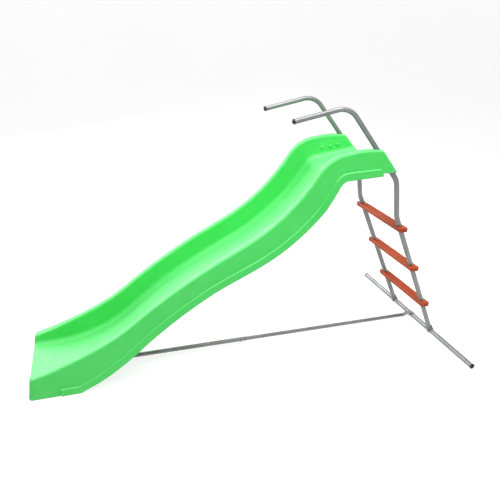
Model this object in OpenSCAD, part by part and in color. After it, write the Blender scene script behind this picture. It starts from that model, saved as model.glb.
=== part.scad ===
// Garden wave slide with a bent tube ladder. Millimetres, +Z up, +X from the slide's foot to the ladder.
// The origin is on the ground, midway along the length, in the plane of symmetry.

/* [Slide] */
// height of the slide floor above the ground at the exit
exit_floor_z = 80; // [60:1:110]
// level floor at the exit, before the run-out bend
exit_len = 113; // [80:1:200]
// radius of the run-out bend
runout_r = 783; // [500:10:1100]
// slope of the lower drop, in degrees
lower_slope = 39.6; // [30:0.1:45]
// straight length of the lower drop
lower_len = 87; // [40:1:250]
// radius of the hump in the middle of the wave
hump_r = 2909; // [1200:10:4000]
// slope over the hump, in degrees
hump_slope = 27.5; // [18:0.1:32]
// straight length over the hump
hump_len = 108; // [40:1:250]
// radius of the hollow under the steep drop
hollow_r = 1322; // [800:10:1800]
// slope of the steep upper drop, in degrees
upper_slope = 57.2; // [48:0.1:62]
// straight length of the upper drop
upper_len = 19; // [10:1:120]
// radius of the bend at the edge of the platform
brow_r = 90; // [60:1:200]
// slope of the platform floor, in degrees
platform_slope = 10; // [2:0.1:14]
// length of the platform floor
platform_len = 295; // [200:1:400]
// half width of the slide over its outer walls
slide_half_w = 260; // [240:1:320]
// half width of the flat floor
floor_half_w = 161; // [130:1:190]
// height of the side walls above the floor
wall_h = 125; // [90:1:160]
// height of the side walls at the exit
exit_wall_h = 56; // [40:1:90]
// height of the side walls at the ladder end
end_wall_h = 104; // [80:1:130]
// depth of the body under the floor on the drops
body_depth = 40; // [28:1:70]
// radius of the rounded top edge of the side walls
rim_r = 16; // [10:0.5:20]
// radius of the fillet between floor and side wall
floor_r = 35; // [20:1:50]
// how far the lower band stands out of the outer wall
band_out = 6; // [3:0.5:10]
// height of the lower band
band_h = 52; // [35:1:70]
// thickness of the moulded plastic skin
skin = 3.2; // [2.5:0.1:6]

/* [Frame] */
// distance between the two stiles, centre to centre
stile_spacing = 460; // [440:1:500]
// outer diameter of the stile and ground bar tubes
tube_d = 32; // [28:0.5:36]
// outer diameter of the handrail tubes
rail_d = 28; // [24:0.5:30]
// wall thickness of every steel tube
tube_wall = 1.5; // [1:0.1:2.5]
// slope of the tubes where they run inside the side walls, in degrees
rail_slope = 49.2; // [40:0.1:60]
// rise of the handrail bend above the end of the slide, along the tube
rail_rise = 459; // [350:1:560]
// length of the handrail grip, from bend corner to end
grip_len = 330; // [240:1:420]
// slope of the handrail grip, in degrees
grip_slope = 13.1; // [0:0.1:25]
// distance from the end of the slide to the upper stile bend, along the tube
stile_drop = 116; // [95:1:180]
// length of the upright part of the stile, between bend corners
upright_len = 244; // [180:1:320]
// lean of the upright part from the vertical, in degrees
upright_lean = 10.5; // [0:0.1:16]
// lean of the ladder from the vertical, in degrees
ladder_lean = 26.3; // [15:0.1:32]
// centre line radius of every tube bend
bend_r = 125; // [90:1:150]
// length of the ground bar over its caps
ground_bar_len = 1364; // [1000:2:1600]

/* [Steps] */
// number of steps
step_count = 3; // [3:1:3]
// height of the top face of the lowest step
first_step_z = 284; // [240:1:320]
// rise from one step to the next
step_rise = 290; // [250:1:300]
// depth of a step, front to back
step_depth = 66; // [55:1:90]
// thickness of a step
step_t = 28; // [22:1:36]
// how far a step reaches past the centre of each stile
step_over = 50; // [36:1:70]
// radius of a step's corners, seen from above
step_corner = 22; // [12:1:28]

/* [Ground bars] */
// outer diameter of the front tie tube
tie_d = 28; // [25:0.5:30]
// where the front tie is bolted under the slide, from the exit end
tie_front_x = 385; // [340:1:430]
// where the two tie tubes join, from the exit end
tie_joint_x = 1325; // [900:5:1700]
// thread diameter of the larger bolts
bolt_d = 8; // [6:1:10]
// thread diameter of the smaller bolts
screw_d = 6; // [5:1:8]

/* [Hidden] */
$fn = 64;
gap = 0.3;            // clearance of a tube in its bore, on the radius
cap_lip = 1.5;        // how far an end cap stands out of its tube
end_cover = 22;       // from a tube's centre line to the slide's slanted end face
band_start = 172;     // where the lower band begins along the floor
edge_r = 9;           // rounding of the slide's end faces
exit_corner_r = 24;   // rounding of the exit's corners, seen from above
strap_t = 3;          // a tube end pressed flat: two walls thick
green = [0.42, 0.86, 0.46];
orange = [0.82, 0.36, 0.18];
steel = [0.62, 0.63, 0.64];
black = [0.10, 0.10, 0.11];
zinc = [0.72, 0.73, 0.74];

// ---- the slide's side line: a chain of straight and bent legs, each [length, turn in degrees] ----
function arc_len(r, turn) = r * abs(turn) * PI / 180;
legs = [[exit_len, 0], [arc_len(runout_r, lower_slope), lower_slope], [lower_len, 0],
    [arc_len(hump_r, lower_slope - hump_slope), hump_slope - lower_slope], [hump_len, 0],
    [arc_len(hollow_r, upper_slope - hump_slope), upper_slope - hump_slope], [upper_len, 0],
    [arc_len(brow_r, upper_slope - platform_slope), platform_slope - upper_slope], [platform_len, 0]];

function turn_r(leg) = leg[0] * 180 / PI / leg[1];
// from a state [x, z, slope], go a distance s along one leg
function along(p, leg, s) = leg[1] == 0
    ? [p[0] + s * cos(p[2]), p[1] + s * sin(p[2]), p[2]]
    : let (r = turn_r(leg), a = p[2] + leg[1] * s / leg[0])
        [p[0] + r * (sin(a) - sin(p[2])), p[1] - r * (cos(a) - cos(p[2])), a];

starts = [for (i = 0, p = [0, exit_floor_z, 0], s = 0; i < len(legs);
    p = along(p, legs[i], legs[i][0]), s = s + legs[i][0], i = i + 1) [s, p]];
slide_len = starts[len(legs) - 1][0] + platform_len;
band_stop = slide_len - 80;
hump_end = starts[4][0];
brow_start = starts[7][0];
function leg_at(s, i) = i == 0 || s >= starts[i][0] ? i : leg_at(s, i - 1);
function floor_at(s) = let (i = leg_at(s, len(legs) - 1)) along(starts[i][1], legs[i], s - starts[i][0]);

// side wall height and body depth along the floor
wall_line = [[0, exit_wall_h], [100, exit_wall_h + 0.35 * (wall_h - exit_wall_h)],
    [200, exit_wall_h + 0.75 * (wall_h - exit_wall_h)], [300, wall_h], [430, wall_h + 11],
    [560, wall_h + 9], [740, wall_h - 4], [1120, wall_h - 4], [1500, wall_h + 4],
    [slide_len - 200, wall_h + 3], [slide_len - 100, (wall_h + end_wall_h) / 2 + 5],
    [slide_len, end_wall_h]];
depth_line = [[0, 200], [255, 2.5 * body_depth], [300, 2.15 * body_depth], [400, 1.68 * body_depth],
    [500, 1.22 * body_depth], [600, 0.95 * body_depth], [700, 0.82 * body_depth],
    [hump_end - 155, 0.8 * body_depth], [hump_end + 45, 0.97 * body_depth],
    [hump_end + 345, 1.18 * body_depth], [brow_start - 165, 1.22 * body_depth],
    [brow_start - 75, 0.95 * body_depth], [brow_start - 15, 0.77 * body_depth],
    [brow_start + 65, 0.77 * body_depth], [brow_start + 135, 0.93 * body_depth],
    [brow_start + 235, 1.2 * body_depth], [band_stop, 1.35 * body_depth]];
function has_band(s) = s > band_start && s < band_stop;
// past the band the underside is cut back, and it comes down again to cover the tubes at the end
function end_depth(s) = body_depth * (0.92 + 0.43 * (s - band_stop) / (slide_len - band_stop));
function depth_at(s) = let (p = floor_at(s))
    min(s > band_stop ? end_depth(s) : lookup(s, depth_line), p[1] / cos(p[2]));

// ---- the frame's side line ----
floor_end = floor_at(slide_len);
tube_dir = [cos(rail_slope), -sin(rail_slope)];
tube_foot = [floor_end[0] - end_cover * sin(rail_slope), floor_end[1] - end_cover * cos(rail_slope)];
rail_bend = tube_foot - rail_rise * tube_dir;
grip_end = rail_bend - grip_len * [cos(grip_slope), sin(grip_slope)];
stile_bend_top = tube_foot + stile_drop * tube_dir;
stile_bend_low = stile_bend_top + upright_len * [sin(upright_lean), -cos(upright_lean)];
bar_r = tube_d / 2;
bar_z = bar_r + cap_lip;
bar_x = stile_bend_low[0] + (stile_bend_low[1] - bar_z) * tan(ladder_lean);
stile_dir = [sin(ladder_lean), -cos(ladder_lean)];
stile_y = stile_spacing / 2;
fork_out = bar_r + strap_t;
foot_shank = fork_out + 0.8 * bolt_d + 2;   // from the bar's centre to the end of a foot bolt
total_len = bar_x + foot_shank * cos(ladder_lean) + (bolt_d / 2 - 0.1) * sin(ladder_lean);
screw_at = tube_foot + 36 * tube_dir;       // the screw through slide, stile and handrail
rail_end = screw_at + 18 * tube_dir;        // lower end of the handrail, inside the stile
stile_top = tube_foot - 82 * tube_dir;      // upper end of the stile, inside the side wall
tie_z = tie_d / 2 + 7;
tie_rear_d = tie_d - 2 * tube_wall - 2 * gap;
bore_d = tube_d + 2 * gap;

module place() translate([-total_len / 2, 0, 0]) children();
module both() { children(); mirror([0, 1, 0]) children(); }
// lays a flat drawing made in X and Y into the X-Z plane
module upright() rotate([90, 0, 0]) children();

// ---- tubes in the X-Z plane; points are [x, z] ----
module ring(d, wall) difference() { circle(d = d); if (wall > 0) circle(d = d - 2 * wall); }
module rod(p, q, d, wall = 0)
    translate([p[0], 0, p[1]]) rotate([0, atan2(q[0] - p[0], q[1] - p[1]), 0])
        linear_extrude(norm(q - p)) ring(d, wall);
// angle of a direction [x, z], from +Z towards +X, and the turn from one leg of a path to the next
function lean_of(v) = atan2(v[0], v[1]);
function wrapped(t) = t > 180 ? t - 360 : t < -180 ? t + 360 : t;
function turn_at(pts, i) = i <= 0 || i >= len(pts) - 1 ? 0
    : wrapped(lean_of(pts[i + 1] - pts[i]) - lean_of(pts[i] - pts[i - 1]));
function run_at(pts, r, i) = norm(pts[i + 1] - pts[i])
    - r * tan(abs(turn_at(pts, i)) / 2) - r * tan(abs(turn_at(pts, i + 1)) / 2);
// one bend, from the origin along +Z and turning towards +X; bending draws the wall a little thinner,
// and each end of the bend laps into the wall of the straight run it meets
lap = 1.5;
drawn = 0.3;
module bend(turn, r, d, wall) {
    over = lap / r * 180 / PI;
    translate([r, 0, 0]) upright() rotate([0, 0, 180 - turn - over])
        rotate_extrude(angle = turn + 2 * over) translate([r, 0]) ring(d - drawn, wall - drawn);
}
// the straight run i, its bend, and all that follows, each built on the end of the one before
module tube_run(pts, r, d, wall, i) {
    run = run_at(pts, r, i);
    turn = turn_at(pts, i + 1);
    linear_extrude(run) ring(d, wall);
    if (i < len(pts) - 2) translate([0, 0, run]) mirror([turn < 0 ? 1 : 0, 0, 0]) {
        bend(abs(turn), r, d, wall);
        translate([r, 0, 0]) rotate([0, abs(turn), 0]) translate([-r, 0, 0])
            mirror([turn < 0 ? 1 : 0, 0, 0]) tube_run(pts, r, d, wall, i + 1);
    }
}
// a tube through the points [x, z], bent at every inner one
module bent_tube(pts, r, d, wall)
    translate([pts[0][0], 0, pts[0][1]]) rotate([0, lean_of(pts[1] - pts[0]), 0])
        tube_run(pts, r, d, wall, 0);

// ---- the slide body: sections across the floor line, skinned into one moulding ----
// where the fillet between floor and wall ends, and the leaning inner face of the wall above it
function fillet_end() = [floor_half_w + floor_r * sin(82), floor_r * (1 - cos(82))];
function inner_y(n) = fillet_end()[0] + (n - fillet_end()[1]) * tan(8);
// outer half of a section, from the middle of the underside to the middle of the rim; t is an inset
function outer_half(s, w, d, t, round_in) =
    let (y = slide_half_w - round_in - t, b = has_band(s) ? band_out : 0, r = max(rim_r - t, 1),
        yt = y - 2, c = max(8 - t, 1), bh = min(band_h, d + w - rim_r - 8))
    [[0, -d + t], [y + b - c, -d + t], [y + b - 0.3 * c, -d + t + 0.3 * c], [y + b, -d + t + c],
        [y + b, -d + bh - 3], [y, -d + bh], [yt, w - rim_r],
        [yt - r + r * cos(30), w - rim_r + r * sin(30)], [yt - r + r * cos(60), w - rim_r + r * sin(60)],
        [yt - r, w - t], [(yt - r + inner_y(w - rim_r) + t + r) / 2, w - t + 1]];
// inner half, from the middle of the floor to the edge of the rim
function inner_half(w, t) =
    let (r = max(rim_r - t, 1), f = floor_r + t, yi = inner_y(w - rim_r) + t)
    concat([[0, -t]],
        [for (a = [0, 18, 38, 60, 82]) [floor_half_w + f * sin(a), floor_r - f * cos(a)]],
        [[yi, w - rim_r], [yi + r - r * cos(30), w - rim_r + r * sin(30)],
            [yi + r - r * cos(60), w - rim_r + r * sin(60)], [yi + r, w - t]]);
half_n = 10;   // the last index of outer_half; inner_half has one point fewer

// the exit face leans back and the ladder end is cut parallel to the tubes
exit_lean = tan(8);
lean_len = 90;
slant_len = 200;
slant = tan(90 - rail_slope - platform_slope);
function slide_point(s, y, n) =
    let (p = floor_at(s), k = max(0, 1 - s / lean_len), m = max(0, 1 - (slide_len - s) / slant_len),
        slip = k * exit_lean * (n + exit_floor_z - edge_r) - m * slant * n)
    [p[0] + slip * cos(p[2]) - n * sin(p[2]), y, p[1] + slip * sin(p[2]) + n * cos(p[2])];
function corner_in(s) = s < exit_corner_r
    ? exit_corner_r - sqrt(pow(exit_corner_r, 2) - pow(exit_corner_r - s, 2)) : 0;
// one closed section: right half outside then inside, left half inside then outside
function section(s, t) =
    let (w = lookup(s, wall_line), d = depth_at(s), a = outer_half(s, w, d, t, corner_in(s)),
        b = inner_half(w, t))
    concat([for (p = a) slide_point(s, p[0], p[1])],
        [for (i = [half_n - 1:-1:0]) slide_point(s, b[i][0], b[i][1])],
        [for (i = [1:half_n - 1]) slide_point(s, -b[i][0], b[i][1])],
        [for (i = [half_n:-1:1]) slide_point(s, -a[i][0], a[i][1])]);
ring_n = 4 * half_n;

// two triangles for each side of each cell, and two strips that close each end
function skin_faces(rows) = [for (j = [0:rows - 2], i = [0:ring_n - 1])
    let (k = (i + 1) % ring_n, a = j * ring_n + i, b = j * ring_n + k, c = a + ring_n, e = b + ring_n)
    each [[a, e, b], [a, c, e]]];
function inner_index(i) = 2 * half_n - i;
function end_faces(o, flip) = [for (i = [0:half_n - 2], side = [0, 1])
    let (a0 = side_index(i, side), a1 = side_index(i + 1, side),
        b0 = side_index(inner_index(i), side), b1 = side_index(inner_index(i + 1), side),
        f = (side == 0) != flip)
    each [turned([a0, b0, b1], f, o), turned([a0, b1, a1], f, o)]];
function tip_faces(o, flip) = [for (side = [0, 1])
    turned([side_index(half_n - 1, side), side_index(half_n + 1, side), side_index(half_n, side)],
        (side == 0) != flip, o)];
function side_index(i, side) = side == 0 ? i : (ring_n - i) % ring_n;
function turned(f, flip, o) = flip ? [o + f[0], o + f[2], o + f[1]] : [o + f[0], o + f[1], o + f[2]];
module skinned(stations) {
    rows = len(stations);
    polyhedron(
        points = [for (p = stations) each section(p[0], p[1])],
        faces = concat(skin_faces(rows), end_faces(0, false), tip_faces(0, false),
            end_faces((rows - 1) * ring_n, true), tip_faces((rows - 1) * ring_n, true)));
}
// stations along the floor: closer together in the tight bends
function leg_stations(i, step, turn_step) =
    let (leg = legs[i], n = max(1, ceil(leg[0] / step), ceil(abs(leg[1]) / turn_step)))
    [for (k = [0:n - 1]) starts[i][0] + leg[0] * k / n];
function line_stations(step, turn_step) = [for (i = [0:len(legs) - 1]) each leg_stations(i, step, turn_step)];
body_stations = concat(
    [[0, edge_r], [edge_r * 0.3, edge_r * 0.29], [edge_r, 0], [18, 0], [40, 0], [75, 0]],
    [for (s = line_stations(62, 5.5)) if (s > 100 && abs(s - band_start) > 12
        && s < slide_len - 75) [s, 0]],
    [[slide_len - 75, 0], [band_stop - 1, 0], [band_stop + 1, 0], [slide_len - edge_r, 0],
        [slide_len - edge_r * 0.3, edge_r * 0.29], [slide_len, edge_r]]);
cavity_end = slide_len - 130;
cavity_stations = concat([[skin + 2, skin], [40, skin]],
    [for (s = line_stations(90, 10)) if (s > 60 && abs(s - band_start) > 20 && s < cavity_end - 20) [s, skin]],
    [[cavity_end, skin]]);

// three low grip bumps on the inside of each wall, by the platform
bump_r = 10;
bump_pitch = 63;
bump_n = 52;           // height of the bumps above the floor
module bumps() for (i = [0:2]) {
    s = slide_len - 240 + i * bump_pitch;
    translate(slide_point(s, inner_y(bump_n) + 5, bump_n)) sphere(r = bump_r, $fn = 24);
}
// the flat-ended boss that the front tie is screwed to
boss_d = 44;
boss_z = tie_z + tie_d / 2 - strap_t;
module tie_boss() translate([tie_front_x, 0, boss_z + strap_t]) cylinder(d = boss_d, h = 40);
module tube_bores() both() translate([0, stile_y, 0]) {
    rod(stile_top, tube_foot + 90 * tube_dir, bore_d);
    rod(tube_foot - 200 * tube_dir, stile_top + tube_dir, rail_d + 2 * gap);
}
// a hole straight across, along Y, at a point [x, z]
module cross_hole(p, d, from, to) translate([p[0], from, p[1]]) rotate([-90, 0, 0]) cylinder(d = d, h = to - from);

module slide_chute() color(green) place() difference() {
    union() {
        difference() { skinned(body_stations); skinned(cavity_stations); }
        both() bumps();
        tie_boss();
    }
    tube_bores();
    both() cross_hole(screw_at, bolt_d, stile_y, slide_half_w + 20);
    translate([tie_front_x, 0, 0]) cylinder(d = screw_d, h = boss_z + 24);
}

module handrail() difference() {
    bent_tube([grip_end, rail_bend, rail_end], bend_r, rail_d, tube_wall);
    cross_hole(screw_at, bolt_d + 0.4, -tube_d, tube_d);
}
module handrail_left() color(steel) place() translate([0, -stile_y, 0]) handrail();
module handrail_right() color(steel) place() translate([0, stile_y, 0]) handrail();

// a domed plastic cap with a plug; it points along +Z, and its flange seats at z = 0
module end_cap(d, dome) {
    translate([0, 0, -14]) cylinder(d = d - 2 * tube_wall - 2 * gap, h = 14);
    cylinder(d = d + 2 * cap_lip, h = 5);
    translate([0, 0, 5]) intersection() {
        translate([0, 0, dome - sq(d / 2 + cap_lip, dome)]) sphere(r = sq(d / 2 + cap_lip, dome));
        cylinder(d = d + 2 * cap_lip, h = dome);
    }
}
// radius of a ball that gives a dome of a height h over a circle of radius r
function sq(r, h) = (r * r + h * h) / (2 * h);
module rail_cap() translate([grip_end[0], 0, grip_end[1]]) rotate([0, -90 - grip_slope, 0]) end_cap(rail_d, 9);
module handrail_cap_left() color(black) place() translate([0, -stile_y, 0]) rail_cap();
module handrail_cap_right() color(black) place() translate([0, stile_y, 0]) rail_cap();

// the ladder: a stile from inside the side wall to a fork over the ground bar
bar_at = [bar_x, bar_z];
fork_w = 26;
fork_in = bar_r - 1.2;
module stile() difference() {
    union() {
        bent_tube([stile_top, stile_bend_top, stile_bend_low, bar_at - 12 * stile_dir], bend_r, tube_d, tube_wall);
        translate([bar_x, 0, bar_z]) rotate([0, -ladder_lean, 0]) for (side = [-1, 1])
            translate([side > 0 ? fork_in : -fork_out, -fork_w / 2, -8]) cube([fork_out - fork_in, fork_w, 49]);
    }
    translate([bar_x, 0, bar_z]) rotate([90, 0, 0]) cylinder(r = bar_r + 0.1, h = 80, center = true);
    foot_axis() translate([0, 0, -40]) cylinder(d = bolt_d + 0.4, h = 80);
    cross_hole(screw_at, bolt_d + 0.4, -tube_d, tube_d);
    for (i = [0:step_count - 1]) step_axis(i) translate([0, 0, -60]) cylinder(d = screw_d + 0.4, h = 120);
}
// +Z points along the foot bolts: square to the stile, down and forwards
module foot_axis() translate([bar_x, 0, bar_z]) rotate([0, -90 - ladder_lean, 0]) children();
module ladder_stile_left() color(steel) place() translate([0, -stile_y, 0]) stile();
module ladder_stile_right() color(steel) place() translate([0, stile_y, 0]) stile();

// a point on the ladder's centre line at a height
function ladder_x(z) = bar_x - (z - bar_z) * tan(ladder_lean);
function step_z(i) = first_step_z + i * step_rise - step_t / 2;
// the origin at a step's screw axis, +Z pointing to the back
module step_axis(i) translate([ladder_x(step_z(i)), 0, step_z(i)]) rotate([0, 90, 0]) children();

step_half = stile_y + step_over;
tread_half = stile_y - bar_r - 22;
tread_in = 1.6;        // the tread is sunk a little between the collars
rib_n = 6;
// a box rounded by corner in plan and by r along its other edges
module rounded_box(l, w, h, r, corner) {
    e = min(r, h / 3);
    intersection() {
        translate([0, 0, -h / 2]) linear_extrude(h) rounded_flat(w, l, min(corner, w / 2 - 1));
        translate([0, l / 2, 0]) rotate([90, 0, 0]) linear_extrude(l) rounded_flat(w, h, e);
        rotate([90, 0, 90]) translate([0, 0, -w / 2]) linear_extrude(w) rounded_flat(l, h, e);
    }
}
module rounded_flat(a, b, r) {
    square([a - 2 * r, b], center = true);
    square([a, b - 2 * r], center = true);
    for (i = [-1, 1], j = [-1, 1]) translate([i * (a / 2 - r), j * (b / 2 - r)]) circle(r);
}
module tread_pocket() translate([0, 0, step_t / 2 - tread_in]) difference() {
    linear_extrude(step_t) intersection() {
        square([step_depth - 12, 2 * tread_half + 20], center = true);
        union() {
            square([step_depth, 2 * tread_half - 20], center = true);
            for (j = [-1, 1]) translate([0, j * (tread_half - 26)]) circle(r = 36);
        }
    }
    for (i = [0:rib_n - 1]) translate([(i - (rib_n - 1) / 2) * (step_depth - 14) / rib_n, 0, 0])
        rotate([90, 0, 0]) translate([0, 0, -tread_half]) cylinder(d = 3, h = 2 * tread_half);
}
module step_body(i) translate([ladder_x(step_z(i)), 0, step_z(i)]) difference() {
    rounded_box(2 * step_half, step_depth, step_t, 8, step_corner);
    tread_pocket();
    both() translate([0, stile_y, 0]) {
        rotate([0, -ladder_lean, 0]) cylinder(d = bore_d, h = 120, center = true);
        rotate([0, 90, 0]) cylinder(d = screw_d, h = step_depth + 2, center = true);
        translate([step_depth / 2 - 4, 0, 0]) rotate([0, 90, 0]) cylinder(d = 2 * screw_d + 1, h = 10);
        rotate([0, -90, 0]) translate([0, 0, step_depth / 2 - 12]) cylinder(d = screw_d - 0.4, h = 5);
    }
}
module step_lower() color(orange) place() step_body(0);
module step_middle() color(orange) place() step_body(1);
module step_upper() color(orange) place() step_body(2);

// a bolt along +Z: its domed head starts at z = 0, its shank runs down; a hexagon nut sits on z = 0
module dome_bolt(d, l, head = 2) {
    translate([0, 0, -l]) cylinder(d = d - 0.2, h = l);
    intersection() {
        translate([0, 0, 0.5 * d - sq(head * d / 2, 0.5 * d)]) sphere(r = sq(head * d / 2, 0.5 * d));
        cylinder(d = head * d, h = d);
    }
}
module hex_nut(d) difference() {
    cylinder(d = 1.9 * d, h = 0.8 * d, $fn = 6);
    translate([0, 0, -1]) cylinder(d = d - 0.2, h = d + 2);
}
module step_screws() color(zinc) place() both() translate([0, stile_y, 0])
    for (i = [0:step_count - 1]) step_axis(i) translate([0, 0, step_depth / 2 - 4])
        dome_bolt(screw_d, step_depth - 10);

module chute_screws() color(zinc) place() both()
    translate([screw_at[0], slide_half_w, screw_at[1]]) rotate([-90, 0, 0])
        dome_bolt(bolt_d, slide_half_w - stile_y + rail_d / 2 - 3);

// the ground bar: the right half is a socket for the left one
bar_half = ground_bar_len / 2 - 5 - 7;
spigot_len = 70;
socket_y = -20;        // where the right half ends, just past the middle
module along_y(from, to, d, wall)
    translate([bar_x, to, bar_z]) rotate([90, 0, 0]) linear_extrude(to - from) ring(d, wall);
module bar_holes() {
    both() translate([0, stile_y, 0]) foot_axis() translate([0, 0, -40]) cylinder(d = bolt_d + 0.4, h = 80);
    foot_axis() translate([0, 0, -40]) cylinder(d = screw_d + 0.4, h = 80);
}
module ground_bar_right() color(steel) place() difference() {
    along_y(socket_y, bar_half, tube_d, tube_wall);
    bar_holes();
}
spigot_d = tube_d - 2 * tube_wall - 2 * gap;
module ground_bar_left() color(steel) place() difference() {
    union() {
        along_y(-bar_half, socket_y - 0.2, tube_d, tube_wall);
        along_y(socket_y - 6, socket_y - 0.2, tube_d, (tube_d - spigot_d) / 2 + tube_wall);
        along_y(socket_y - 6, socket_y + spigot_len, spigot_d, tube_wall);
    }
    bar_holes();
}
module bar_cap(side) translate([bar_x, side * bar_half, bar_z]) rotate([-90 * side, 0, 0]) end_cap(tube_d, 7);
module ground_bar_cap_left() color(black) place() bar_cap(-1);
module ground_bar_cap_right() color(black) place() bar_cap(1);

module stile_foot_bolts() color(zinc) place() both() translate([0, stile_y, 0])
    foot_axis() translate([0, 0, fork_out]) dome_bolt(bolt_d, fork_out + foot_shank, 1.7);
module stile_foot_nuts() color(zinc) place() both() translate([0, stile_y, 0])
    foot_axis() translate([0, 0, -fork_out]) mirror([0, 0, 1]) hex_nut(bolt_d);

// the tie along the ground: two tubes, each with its outer end pressed flat
flat_w = 36;
flat_len = 46;
press_len = 34;
// presses a tube end flat against its top side, from x = 0 to x = len
module pressed(d, len) hull() {
    rotate([0, 90, 0]) cylinder(d = d, h = 0.5);
    translate([len - 0.5, -flat_w / 2, d / 2 - strap_t]) cube([0.5, flat_w, strap_t]);
}
module tie_bar_front() color(steel) place() translate([tie_front_x, 0, tie_z]) difference() {
    union() {
        translate([flat_w / 2 + press_len, 0, 0]) rotate([0, 90, 0])
            linear_extrude(tie_joint_x + 38 - tie_front_x - flat_w / 2 - press_len) ring(tie_d, tube_wall);
        translate([flat_w / 2 + press_len, 0, 0]) mirror([1, 0, 0]) pressed(tie_d, press_len);
        translate([0, -flat_w / 2, tie_d / 2 - strap_t]) cube([flat_w / 2 + 0.2, flat_w, strap_t]);
        translate([0, 0, tie_d / 2 - strap_t]) cylinder(d = flat_w, h = strap_t);
    }
    cylinder(d = screw_d + 0.6, h = 60, center = true);
    translate([tie_joint_x - tie_front_x, 0, 0]) cylinder(d = screw_d + 0.4, h = 60, center = true);
}
saddle_top = bar_z + bar_r + strap_t;
rear_end_x = bar_x - bar_r - 26;
module tie_bar_rear() color(steel) place() difference() {
    union() {
        translate([tie_joint_x - 40, 0, tie_z]) rotate([0, 90, 0])
            linear_extrude(rear_end_x - press_len - tie_joint_x + 40) ring(tie_rear_d, tube_wall);
        translate([rear_end_x - press_len, 0, tie_z]) hull() {
            rotate([0, 90, 0]) cylinder(d = tie_rear_d, h = 0.5);
            translate([press_len - 0.5, -flat_w / 2, saddle_top - tie_z - strap_t]) cube([0.5, flat_w, strap_t]);
        }
        translate([rear_end_x - 0.2, -flat_w / 2, saddle_top - strap_t])
            cube([bar_x - rear_end_x + 0.2, flat_w, strap_t]);
        translate([bar_x, 0, bar_z]) intersection() {
            rotate([90, 0, 0]) cylinder(r = bar_r + strap_t, h = flat_w, center = true);
            translate([0, -flat_w / 2, -1]) cube([40, flat_w, 40]);
        }
    }
    translate([bar_x, 0, bar_z]) rotate([90, 0, 0]) cylinder(r = bar_r + 0.1, h = 80, center = true);
    foot_axis() translate([0, 0, -40]) cylinder(d = screw_d + 0.4, h = 40);
    translate([tie_joint_x, 0, 0]) cylinder(d = screw_d + 0.4, h = 80, center = true);
}
module tie_joint_bolt() color(zinc) place() translate([tie_joint_x, 0, tie_z + tie_d / 2])
    dome_bolt(screw_d, tie_d + 0.8 * screw_d + 1);
module tie_joint_nut() color(zinc) place() translate([tie_joint_x, 0, tie_z - tie_d / 2])
    mirror([0, 0, 1]) hex_nut(screw_d);
module tie_front_screw() color(zinc) place() translate([tie_front_x, 0, boss_z])
    mirror([0, 0, 1]) dome_bolt(screw_d, strap_t + 20);
module tie_rear_bolt() color(zinc) place() foot_axis() translate([0, 0, -fork_out])
    mirror([0, 0, 1]) dome_bolt(screw_d, 2 * bar_r + strap_t + 0.8 * screw_d + 1);
module tie_rear_nut() color(zinc) place() foot_axis() translate([0, 0, bar_r]) hex_nut(screw_d);

slide_chute();
handrail_left();
handrail_right();
handrail_cap_left();
handrail_cap_right();
ladder_stile_left();
ladder_stile_right();
step_lower();
step_middle();
step_upper();
step_screws();
chute_screws();
ground_bar_left();
ground_bar_right();
ground_bar_cap_left();
ground_bar_cap_right();
stile_foot_bolts();
stile_foot_nuts();
tie_bar_front();
tie_bar_rear();
tie_joint_bolt();
tie_joint_nut();
tie_front_screw();
tie_rear_bolt();
tie_rear_nut();
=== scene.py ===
"""Garden wave slide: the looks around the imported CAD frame. Metres, +Z up, +X from the exit to the ladder."""

import math

import bmesh
import bpy
from mathutils import Matrix, Vector


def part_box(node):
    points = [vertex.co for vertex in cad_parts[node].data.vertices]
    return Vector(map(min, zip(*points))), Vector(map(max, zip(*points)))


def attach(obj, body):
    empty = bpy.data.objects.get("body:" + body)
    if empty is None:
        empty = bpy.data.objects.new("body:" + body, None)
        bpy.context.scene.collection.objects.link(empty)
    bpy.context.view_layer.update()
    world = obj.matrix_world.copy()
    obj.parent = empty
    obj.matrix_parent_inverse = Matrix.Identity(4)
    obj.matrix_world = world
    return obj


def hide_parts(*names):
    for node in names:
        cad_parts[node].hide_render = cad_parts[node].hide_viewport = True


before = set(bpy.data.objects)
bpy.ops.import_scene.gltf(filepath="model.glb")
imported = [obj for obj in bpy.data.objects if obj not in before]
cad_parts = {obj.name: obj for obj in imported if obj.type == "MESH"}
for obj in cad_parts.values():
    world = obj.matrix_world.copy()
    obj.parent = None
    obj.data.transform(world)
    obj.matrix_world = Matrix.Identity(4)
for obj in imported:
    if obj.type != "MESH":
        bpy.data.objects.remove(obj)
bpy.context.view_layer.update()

MM = 0.001
SHARP_BODY, SHARP_CAD = 40.0, 35.0        # degrees from which an edge is drawn sharp
EXIT_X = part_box("slide_chute")[0][0]      # the slide's exit end
STEEL_NODES = ("handrail_left", "handrail_right", "ladder_stile_left", "ladder_stile_right",
               "ground_bar_left", "ground_bar_right", "tie_bar_front", "tie_bar_rear")
STEP_NODES = ("step_lower", "step_middle", "step_upper")
CAP_NODES = ("handrail_cap_left", "handrail_cap_right", "ground_bar_cap_left", "ground_bar_cap_right")
ZINC_NODES = ("step_screws", "chute_screws", "stile_foot_bolts", "stile_foot_nuts", "tie_joint_bolt",
              "tie_joint_nut", "tie_front_screw", "tie_rear_bolt", "tie_rear_nut")

# ---- the slide's side line, in millimetres: legs of [length, turn in degrees] from the exit up ----
FLOOR_Z = 80.0
BEND = {"runout": (783.0, 39.6), "hump": (2909.0, -12.1), "hollow": (1322.0, 29.7), "brow": (90.0, -47.2)}


def arc(name):
    radius, turn = BEND[name]
    return (radius * math.radians(abs(turn)), turn)


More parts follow.
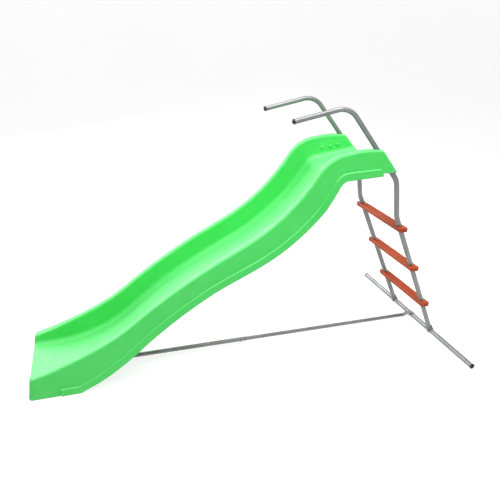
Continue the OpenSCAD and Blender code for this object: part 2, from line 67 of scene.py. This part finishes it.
LEGS = [(113.0, 0.0), arc("runout"), (87.0, 0.0), arc("hump"), (108.0, 0.0), arc("hollow"), (19.0, 0.0),
        arc("brow"), (295.0, 0.0)]
HALF_W, FLOOR_HALF, WALL_H, EXIT_WALL, END_WALL = 260.0, 161.0, 125.0, 56.0, 104.0
DEPTH, RIM_R, BAND_OUT, BAND_H = 40.0, 16.0, 6.0, 52.0
FLOOR_R, FLOOR_TURN = 35.0, 82.0          # the fillet between floor and wall, and how far it turns
BAND_START, EDGE_R, CORNER_R = 172.0, 9.0, 24.0
FOOT_R = 8.0                              # the rounding along the lower edge
BEAD_R, BEAD_OUT = 4.5, 3.0               # the bead along the band's top and front edges
NOSE_R = 11.0                             # how far the rim drops in the last bit before the exit
LEAN_TAN = math.tan(math.radians(8))      # lean of the exit face and of the inner walls
LEAN_LEN, SLANT_LEN = 90.0, 200.0
RAIL_SLOPE, PLATFORM_SLOPE = 49.2, 10.0
# the ladder end is cut parallel to the tubes
SLANT = math.tan(math.radians(90 - RAIL_SLOPE - PLATFORM_SLOPE))
WALL_DRAFT = 2.0                          # how far the outer wall leans in up to its rim
BAND_STEP = 3.0                           # where the wall starts above the band
# grip bumps: radius, spacing, height above the floor, first one's place from the end, depth in the wall
BUMP_R, BUMP_PITCH, BUMP_UP, BUMP_BACK, BUMP_SINK = 10.0, 63.0, 52.0, 240.0, 1.0
BOSS_R, BOSS_H = 22.0, 40.0               # the boss that the front tie is screwed to


def along(state, leg, s):
    """The point and slope a distance s along one leg that starts at state."""
    x, z, slope = state
    if leg[1] == 0:
        return (x + s * math.cos(slope), z + s * math.sin(slope), slope)
    r = leg[0] / math.radians(leg[1])
    a = slope + math.radians(leg[1]) * s / leg[0]
    return (x + r * (math.sin(a) - math.sin(slope)), z - r * (math.cos(a) - math.cos(slope)), a)


def leg_starts():
    out, state, s = [], (0.0, FLOOR_Z, 0.0), 0.0
    for leg in LEGS:
        out.append((s, state))
        state, s = along(state, leg, leg[0]), s + leg[0]
    return out, s


STARTS, SLIDE_LEN = leg_starts()
BAND_STOP = SLIDE_LEN - 80
HUMP_END, BROW_START = STARTS[4][0], STARTS[7][0]


def floor_at(s):
    i = max(k for k in range(len(LEGS)) if k == 0 or s >= STARTS[k][0])
    return along(STARTS[i][1], LEGS[i], s - STARTS[i][0])


def lookup(s, line):
    """Straight-line value at s in a list of (place, value)."""
    if s <= line[0][0]:
        return line[0][1]
    for (a, u), (b, v) in zip(line, line[1:]):
        if s <= b:
            return u + (v - u) * (s - a) / (b - a)
    return line[-1][1]


WALL_LINE = [(0, EXIT_WALL), (100, EXIT_WALL + 0.35 * (WALL_H - EXIT_WALL)),
             (200, EXIT_WALL + 0.75 * (WALL_H - EXIT_WALL)), (300, WALL_H), (430, WALL_H + 11),
             (560, WALL_H + 9), (740, WALL_H - 4), (1120, WALL_H - 4), (1500, WALL_H + 4),
             (SLIDE_LEN - 200, WALL_H + 3), (SLIDE_LEN - 100, (WALL_H + END_WALL) / 2 + 5),
             (SLIDE_LEN, END_WALL)]
DEPTH_LINE = [(0, 200), (255, 2.5 * DEPTH), (300, 2.15 * DEPTH), (400, 1.68 * DEPTH), (500, 1.22 * DEPTH),
              (600, 0.95 * DEPTH), (700, 0.82 * DEPTH), (HUMP_END - 155, 0.8 * DEPTH),
              (HUMP_END + 45, 0.97 * DEPTH), (HUMP_END + 345, 1.18 * DEPTH),
              (BROW_START - 165, 1.22 * DEPTH), (BROW_START - 75, 0.95 * DEPTH),
              (BROW_START - 15, 0.77 * DEPTH), (BROW_START + 65, 0.77 * DEPTH),
              (BROW_START + 135, 0.93 * DEPTH), (BROW_START + 235, 1.2 * DEPTH), (BAND_STOP, 1.35 * DEPTH)]


def depth_at(s):
    """How deep the body reaches under the floor; it never goes below the ground."""
    _, z, slope = floor_at(s)
    ground = z / math.cos(slope)
    if s > BAND_STOP:
        return min(DEPTH * (0.92 + 0.43 * (s - BAND_STOP) / (SLIDE_LEN - BAND_STOP)), ground)
    return min(lookup(s, DEPTH_LINE), ground)


def fillet_point(radius, turn):
    """A point on the fillet of that radius, after a turn in degrees from the floor."""
    a = math.radians(turn)
    return (FLOOR_HALF + radius * math.sin(a), FLOOR_R - radius * math.cos(a))


FILLET_END = fillet_point(FLOOR_R, FLOOR_TURN)


def inner_y(n):
    """Where the inner face of a side wall stands at a height n above the floor."""
    return FILLET_END[0] + (n - FILLET_END[1]) * LEAN_TAN


def arc_points(cy, cn, r, start, stop, count):
    """Points on an arc; angles in degrees from +y towards +n."""
    return [(cy + r * math.cos(math.radians(a)), cn + r * math.sin(math.radians(a)))
            for a in (start + (stop - start) * k / count for k in range(count + 1))]


def quarter(s, radius):
    """How far a quarter-round of that radius lies back at a distance s from its face."""
    return radius - math.sqrt(radius ** 2 - (radius - s) ** 2) if s < radius else 0.0


def band_reach(s):
    """How far the lower band stands out at s, with the upright bead on its front edge."""
    if not BAND_START < s < BAND_STOP:
        return 0.0
    front = min(1.0, (s - BAND_START) / (2 * BEAD_R))
    return BAND_OUT + BEAD_OUT * math.sin(math.pi * front)


def between(a, b, count):
    """Points from a towards b in count equal steps, with a and without b."""
    return [(a[0] + (b[0] - a[0]) * k / count, a[1] + (b[1] - a[1]) * k / count) for k in range(count)]


def band_points(y, depth, t, out, band_top):
    """The underside, the lower edge and the band with the bead along its top."""
    foot_r = max(FOOT_R - t, 1.0)
    bead = BEAD_OUT if out else 0.0
    pts = [(k * (y + out - foot_r) / 6, -depth + t) for k in range(7)]
    pts += arc_points(y + out - foot_r, -depth + t + foot_r, foot_r, -75, 0, 5)
    pts += [(y + out - bead * 0.2, band_top - 3 * BEAD_R)]
    pts += [(y + out * (1 - k / 8) + bead * math.sin(math.pi * k / 8), band_top - 2 * BEAD_R * (1 - k / 8))
            for k in range(9)]
    return pts


def rim_points(outer, inner, top, t):
    """The rounded rim, from the outer wall over a slight crown to the inner wall."""
    r = max(RIM_R - t, 1.0)
    crown = (outer - r) - (inner + r)
    pts = arc_points(outer - r, top, r, 0, 90, 9)
    pts += [(outer - r - crown * k / 4, top + RIM_R - t + math.sin(math.pi * k / 4)) for k in (1, 2, 3)]
    pts += arc_points(inner + r, top, r, 90, 180, 9)
    return pts


def trough_points(inner, top, t):
    """The inner wall, the fillet and the floor, as far as its middle."""
    radius = FLOOR_R + t
    pts = between((inner, top), fillet_point(radius, FLOOR_TURN), 4)[1:]
    pts += [fillet_point(radius, FLOOR_TURN - FLOOR_TURN * k / 12) for k in range(13)]
    pts += [(FLOOR_HALF * k / 6, -t) for k in range(5, -1, -1)]
    return pts


def half_section(s, t, round_in):
    """Right half of a section, from the middle of the underside round the rim to the middle of the floor."""
    wall, depth, out = lookup(s, WALL_LINE) - quarter(s, NOSE_R), depth_at(s), band_reach(s)
    y = HALF_W - round_in - t
    top = wall - RIM_R
    band_top = -depth + min(BAND_H, depth + top - FOOT_R)
    outer, inner = y - WALL_DRAFT, inner_y(top) + t
    pts = band_points(y, depth, t, out, band_top)
    pts += between((y, band_top + BAND_STEP), (outer, top), 4)
    pts += rim_points(outer, inner, top, t)
    pts += trough_points(inner, top, t)
    return pts


def slide_point(s, y, n):
    """The point at a distance s along the floor, y across it and n above it, in metres."""
    x, z, slope = floor_at(s)
    k = max(0.0, 1 - s / LEAN_LEN)
    m = max(0.0, 1 - (SLIDE_LEN - s) / SLANT_LEN)
    slip = k * LEAN_TAN * (n + FLOOR_Z - EDGE_R) - m * SLANT * n
    c, si = math.cos(slope), math.sin(slope)
    return Vector((EXIT_X + (x + slip * c - n * si) * MM, y * MM, (z + slip * si + n * c) * MM))


def stations():
    """Places along the floor, each with the inset of its section: quarter-round at both ends.
    They lie close together at the exit's corners and where the band starts and stops."""
    low = [(s, quarter(s, EDGE_R)) for s in (0.0, 0.4, 1.4, 3.0, 5.2, 7.4)]
    high = [(SLIDE_LEN - s, t) for s, t in reversed(low)]
    mid = [9.0, 12.0, 15.5, 19.5, 24.0]
    first, last, spacing = 34, SLIDE_LEN - 24, 12
    steps = round((last - first - spacing) / spacing)
    mid += [first + (last - first) * k / steps for k in range(steps + 1)]
    mid = [s for s in mid if abs(s - BAND_START) > 11 and abs(s - BAND_STOP) > 5 and s < SLIDE_LEN - 10]
    mid += [BAND_START + 0.01 + 2 * BEAD_R * k / 6 for k in range(7)]
    mid += [BAND_START - 0.1, BAND_STOP - 2.5, BAND_STOP + 0.1, SLIDE_LEN - EDGE_R]
    return low + [(s, 0.0) for s in sorted(mid)] + high


def new_object(name, bm):
    bmesh.ops.recalc_face_normals(bm, faces=bm.faces[:])
    mesh = bpy.data.meshes.new(name)
    bm.to_mesh(mesh)
    bm.free()
    obj = bpy.data.objects.new(name, mesh)
    bpy.context.scene.collection.objects.link(obj)
    mesh.shade_smooth()
    mesh.set_sharp_from_angle(angle=math.radians(SHARP_BODY))
    return obj


def add_bump_at(bm, centre, radius):
    """A ball pressed flat across the wall, so that it stands out as a low soft dome."""
    squash = Matrix.Diagonal((1.25, 0.62, 1.25, 1.0))
    bmesh.ops.create_uvsphere(bm, u_segments=32, v_segments=20, radius=radius,
                              matrix=Matrix.Translation(centre) @ squash)


def add_bumps(bm):
    for side in (-1, 1):
        for k in range(3):
            y = side * (inner_y(BUMP_UP) + BUMP_SINK)
            add_bump_at(bm, slide_point(SLIDE_LEN - BUMP_BACK + BUMP_PITCH * k, y, BUMP_UP), BUMP_R * MM)


def add_boss(bm):
    """The boss under the slide, over the screw of the front tie."""
    low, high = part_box("tie_front_screw")
    centre = Vector(((low[0] + high[0]) / 2, 0, low[2] + BOSS_H * MM))
    bmesh.ops.create_cone(bm, cap_ends=True, segments=48, radius1=BOSS_R * MM, radius2=BOSS_R * MM,
                          depth=BOSS_H * MM, matrix=Matrix.Translation(centre))


def make_slide():
    """The whole moulding: sections across the floor line, skinned, with its bumps and its boss."""
    bm = bmesh.new()
    rows = []
    for s, t in stations():
        half = half_section(s, t, quarter(s, CORNER_R))
        left = [(-y, n) for y, n in half[-2:0:-1]]
        rows.append([bm.verts.new(slide_point(s, y, n)) for y, n in half + left])
    count = len(rows[0])
    for a, b in zip(rows, rows[1:]):
        for i in range(count):
            j = (i + 1) % count
            bm.faces.new((a[i], a[j], b[j], b[i]))
    bm.faces.new(rows[0])
    bm.faces.new(rows[-1])
    add_bumps(bm)
    add_boss(bm)
    return new_object("slide_body", bm)


# ---- materials ----
def new_material(name):
    mat = bpy.data.materials.new(name)
    mat.use_nodes = True
    tree = mat.node_tree
    shader = tree.nodes["Principled BSDF"]
    return mat, tree, shader


def add_noise(tree, scale, detail=3.0, roughness=0.5, stretch=None):
    """A noise texture in object space, optionally stretched along one axis."""
    coord = tree.nodes.new("ShaderNodeTexCoord")
    mapping = tree.nodes.new("ShaderNodeMapping")
    mapping.inputs["Scale"].default_value = stretch or (1, 1, 1)
    tree.links.new(coord.outputs["Object"], mapping.inputs["Vector"])
    tex = tree.nodes.new("ShaderNodeTexNoise")
    tex.inputs["Scale"].default_value = scale
    tex.inputs["Detail"].default_value = detail
    tex.inputs["Roughness"].default_value = roughness
    tree.links.new(mapping.outputs["Vector"], tex.inputs["Vector"])
    return tex.outputs["Fac"]


def remap(tree, value, low, high, to_low=0.0, to_high=1.0):
    node = tree.nodes.new("ShaderNodeMapRange")
    node.interpolation_type = "SMOOTHSTEP"
    for key, number in (("From Min", low), ("From Max", high), ("To Min", to_low), ("To Max", to_high)):
        node.inputs[key].default_value = number
    tree.links.new(value, node.inputs["Value"])
    return node.outputs["Result"]


def mix_colour(tree, factor, a, b):
    node = tree.nodes.new("ShaderNodeMix")
    node.data_type = "RGBA"
    for key, value in (("A", a), ("B", b)):
        socket = [s for s in node.inputs if s.name == key and s.type == "RGBA"][0]
        if isinstance(value, bpy.types.NodeSocket):
            tree.links.new(value, socket)
        else:
            socket.default_value = (*value, 1)
    tree.links.new(factor, node.inputs[0])
    return [s for s in node.outputs if s.type == "RGBA"][0]


def add_bump(tree, shader, heights):
    """Chains bumps; heights is a list of (socket, distance in metres, strength)."""
    normal = None
    for value, distance, strength in heights:
        bump = tree.nodes.new("ShaderNodeBump")
        bump.inputs["Distance"].default_value = distance
        bump.inputs["Strength"].default_value = strength
        tree.links.new(value, bump.inputs["Height"])
        if normal:
            tree.links.new(normal, bump.inputs["Normal"])
        normal = bump.outputs["Normal"]
    tree.links.new(normal, shader.inputs["Normal"])


def worn_edges(tree, low, high):
    """1 on convex edges, 0 elsewhere."""
    geometry = tree.nodes.new("ShaderNodeNewGeometry")
    return remap(tree, geometry.outputs["Pointiness"], low, high)


def facing_up(tree):
    """How far a surface faces up, used for the painted highlight and the painted shade: 1 for level, 0 for
    upright.
    """
    geometry = tree.nodes.new("ShaderNodeNewGeometry")
    split = tree.nodes.new("ShaderNodeSeparateXYZ")
    tree.links.new(geometry.outputs["Normal"], split.inputs[0])
    return split.outputs["Z"]


def paint_shade_below(tree, colour, shade_colour, amount):
    """Painted shade: darkens the surfaces that face down, as if the light from above never reached them."""
    down = remap(tree, facing_up(tree), -0.15, -0.95, 0, amount)
    return mix_colour(tree, down, colour, shade_colour)


def plastic(name, base, dark, pale, roughness):
    """Moulded plastic: slow colour drift, a fine moulded grain, and paler worn edges."""
    mat, tree, shader = new_material(name)
    drift = remap(tree, add_noise(tree, 2.2, 2.0), 0.35, 0.65)
    cloud = remap(tree, add_noise(tree, 14.0, 4.0, 0.6), 0.42, 0.72)
    colour = mix_colour(tree, drift, base, dark)
    faint = remap(tree, cloud, 0, 1, 0, 0.16)
    colour = mix_colour(tree, faint, colour, pale)
    edges = remap(tree, worn_edges(tree, 0.53, 0.6), 0, 1, 0, 0.55)
    colour = mix_colour(tree, edges, colour, pale)
    # painted shade: surfaces that face down are darkened towards a quarter of the base colour
    colour = paint_shade_below(tree, colour, [v * 0.25 for v in base], 0.7)
    tree.links.new(colour, shader.inputs["Base Color"])
    shader.inputs["Specular IOR Level"].default_value = 0.3
    rough = remap(tree, add_noise(tree, 30.0, 3.0, 0.6), 0.3, 0.7, roughness - 0.05, roughness + 0.09)
    tree.links.new(rough, shader.inputs["Roughness"])
    add_bump(tree, shader, [(add_noise(tree, 900.0, 2.0), 0.0002, 0.25),
                            (add_noise(tree, 60.0, 2.0), 0.0006, 0.18)])
    shader.inputs["IOR"].default_value = 1.5
    return mat


def green_plastic():
    """The slide's moulded plastic: paler where it stands proud, with a painted highlight where it faces up and
    painted shade where it faces down.
    """
    mat, tree, shader = new_material("green_slide_plastic")
    base, dark, pale = (0.055, 0.64, 0.105), (0.049, 0.60, 0.092), (0.24, 0.90, 0.34)
    drift = remap(tree, add_noise(tree, 1.6, 2.0), 0.35, 0.65)
    colour = mix_colour(tree, drift, base, dark)
    cloud = remap(tree, add_noise(tree, 9.0, 5.0, 0.62), 0.45, 0.85, 0, 0.12)
    colour = mix_colour(tree, cloud, colour, pale)
    # long scuffs down the slide, worn in by sliding
    scuff = remap(tree, add_noise(tree, 26.0, 6.0, 0.7, (0.12, 3.2, 0.12)), 0.58, 0.78, 0, 0.10)
    colour = mix_colour(tree, scuff, colour, pale)
    # painted highlight: surfaces that face up are mixed up to 40% towards the pale green, as if lit from above
    colour = mix_colour(tree, remap(tree, facing_up(tree), 0.15, 0.95, 0, 0.40), colour, pale)
    edges = remap(tree, worn_edges(tree, 0.51, 0.56), 0, 1, 0, 0.30)
    colour = mix_colour(tree, edges, colour, pale)
    # painted shade: surfaces that face down are darkened towards a deep green
    colour = paint_shade_below(tree, colour, (0.02, 0.16, 0.035), 0.75)
    tree.links.new(colour, shader.inputs["Base Color"])
    rough = remap(tree, add_noise(tree, 20.0, 4.0, 0.6), 0.3, 0.7, 0.50, 0.62)
    tree.links.new(rough, shader.inputs["Roughness"])
    add_bump(tree, shader, [(add_noise(tree, 1100.0, 2.0), 0.00015, 0.2),
                            (add_noise(tree, 30.0, 2.0), 0.0006, 0.10)])
    shader.inputs["Subsurface Weight"].default_value = 0.08
    shader.inputs["Subsurface Radius"].default_value = (0.002, 0.006, 0.003)
    shader.inputs["Subsurface Scale"].default_value = 1.0
    return mat


def metal_paint(name, base, dark, metallic, roughness):
    """Powder coat or zinc: a fine orange peel with small specks."""
    mat, tree, shader = new_material(name)
    drift = remap(tree, add_noise(tree, 6.0, 3.0), 0.35, 0.65)
    colour = mix_colour(tree, drift, base, dark)
    speck = remap(tree, add_noise(tree, 420.0, 2.0, 0.7), 0.62, 0.74, 0, 0.35)
    colour = mix_colour(tree, speck, colour, dark)
    # painted shade: surfaces that face down are darkened towards a fifth of the dark colour
    colour = paint_shade_below(tree, colour, [v * 0.2 for v in dark], 0.85)
    tree.links.new(colour, shader.inputs["Base Color"])
    rough = remap(tree, add_noise(tree, 45.0, 3.0, 0.6), 0.3, 0.7, roughness - 0.07, roughness + 0.08)
    tree.links.new(rough, shader.inputs["Roughness"])
    add_bump(tree, shader, [(add_noise(tree, 700.0, 2.0), 0.00015, 0.3),
                            (add_noise(tree, 90.0, 2.0), 0.0003, 0.15)])
    shader.inputs["Metallic"].default_value = metallic
    return mat


def paint_cad(nodes, mat):
    """Gives the CAD nodes' own meshes a material; their shapes stay as packed."""
    for name in nodes:
        for obj in node_objects(name):
            for slot in obj.material_slots:
                slot.material = mat
            obj.data.set_sharp_from_angle(angle=math.radians(SHARP_CAD))


def node_objects(name):
    """The objects of one CAD node, as a list."""
    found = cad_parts[name]
    return list(found) if isinstance(found, (list, tuple)) else [found]


# ---- stage, light and camera ----
def make_floor():
    """A pale floor that curves up into a wall far behind the slide."""
    bm = bmesh.new()
    front, bend_at, bend, height, half_width = -14.0, 7.0, 4.0, 12.0, 22.0
    turns = [math.radians(9 * k) for k in range(1, 11)]
    curve = [(front, 0.0), (bend_at, 0.0)]
    curve += [(bend_at + bend * math.sin(a), bend - bend * math.cos(a)) for a in turns]
    curve += [(bend_at + bend, height)]
    rows = [[bm.verts.new((x, y, z)) for x in (-half_width, half_width)] for y, z in curve]
    for a, b in zip(rows, rows[1:]):
        bm.faces.new((a[0], a[1], b[1], b[0]))
    floor = new_object("studio_floor", bm)
    mat, tree, shader = new_material("studio_floor")
    soft = remap(tree, add_noise(tree, 0.4, 2.0), 0.3, 0.7)
    colour = mix_colour(tree, soft, (0.30, 0.30, 0.30), (0.32, 0.32, 0.32))
    tree.links.new(colour, shader.inputs["Base Color"])
    shader.inputs["Roughness"].default_value = 1.0
    shader.inputs["Specular IOR Level"].default_value = 0.0
    shader.inputs["Emission Color"].default_value = (1, 1, 1, 1)
    shader.inputs["Emission Strength"].default_value = 0.80
    floor.data.materials.append(mat)


def add_light(name, at, target, size, power):
    """A white softbox that the camera doesn't see."""
    data = bpy.data.lights.new(name, "AREA")
    data.shape = "RECTANGLE"
    data.size, data.size_y = size
    data.energy = power
    obj = bpy.data.objects.new(name, data)
    obj.location = at
    obj.rotation_euler = (Vector(target) - Vector(at)).to_track_quat("-Z", "Y").to_euler()
    obj.visible_camera = False
    bpy.context.scene.collection.objects.link(obj)


def make_light():
    """A dim even sky and two large softboxes, above the near side and behind."""
    world = bpy.data.worlds.new("studio")
    bpy.context.scene.world = world
    world.use_nodes = True
    back = world.node_tree.nodes["Background"]
    back.inputs["Color"].default_value = (1, 1, 1, 1)
    back.inputs["Strength"].default_value = 0.24
    add_light("top_front", (0.5, -1.4, 5.0), (0.2, 0, 0.6), (4, 4), 315)
    add_light("back", (-2.4, 4.6, 3.8), (0, 0, 0.6), (7, 3), 400)


def make_camera():
    """The camera that was fitted to the photograph."""
    data = bpy.data.cameras.new("photo_view")
    data.lens, data.sensor_width, data.sensor_fit = 35.51, 36.0, "HORIZONTAL"
    camera = bpy.data.objects.new("photo_view", data)
    right = Vector((0.9509, -0.3071, 0.0386)).normalized()
    ahead = Vector((0.2956, 0.8639, -0.4079)).normalized()
    up = right.cross(ahead).normalized()
    ahead = up.cross(right).normalized()
    turn = Matrix((right, up, -ahead)).transposed()
    camera.matrix_world = Matrix.Translation((EXIT_X + 0.4426, -2.7030, 1.9644)) @ turn.to_4x4()
    bpy.context.scene.collection.objects.link(camera)
    bpy.context.scene.camera = camera


def main():
    slide = make_slide()
    slide.data.materials.append(green_plastic())
    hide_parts("slide_chute")
    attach(slide, "root")
    paint_cad(STEEL_NODES, metal_paint("grey_powder_coat", (0.27, 0.273, 0.277), (0.21, 0.213, 0.217),
                                       0.35, 0.32))
    paint_cad(STEP_NODES, plastic("orange_step_plastic", (0.34, 0.041, 0.005), (0.28, 0.031, 0.004),
                                  (0.46, 0.072, 0.013), 0.5))
    paint_cad(CAP_NODES, plastic("black_cap_plastic", (0.022, 0.022, 0.024), (0.015, 0.015, 0.016),
                                 (0.06, 0.06, 0.062), 0.45))
    paint_cad(ZINC_NODES, metal_paint("zinc_plate", (0.34, 0.345, 0.35), (0.25, 0.253, 0.257), 0.6, 0.38))
    make_floor()
    make_light()
    make_camera()
    bpy.context.scene.view_settings.view_transform = "Standard"


main()
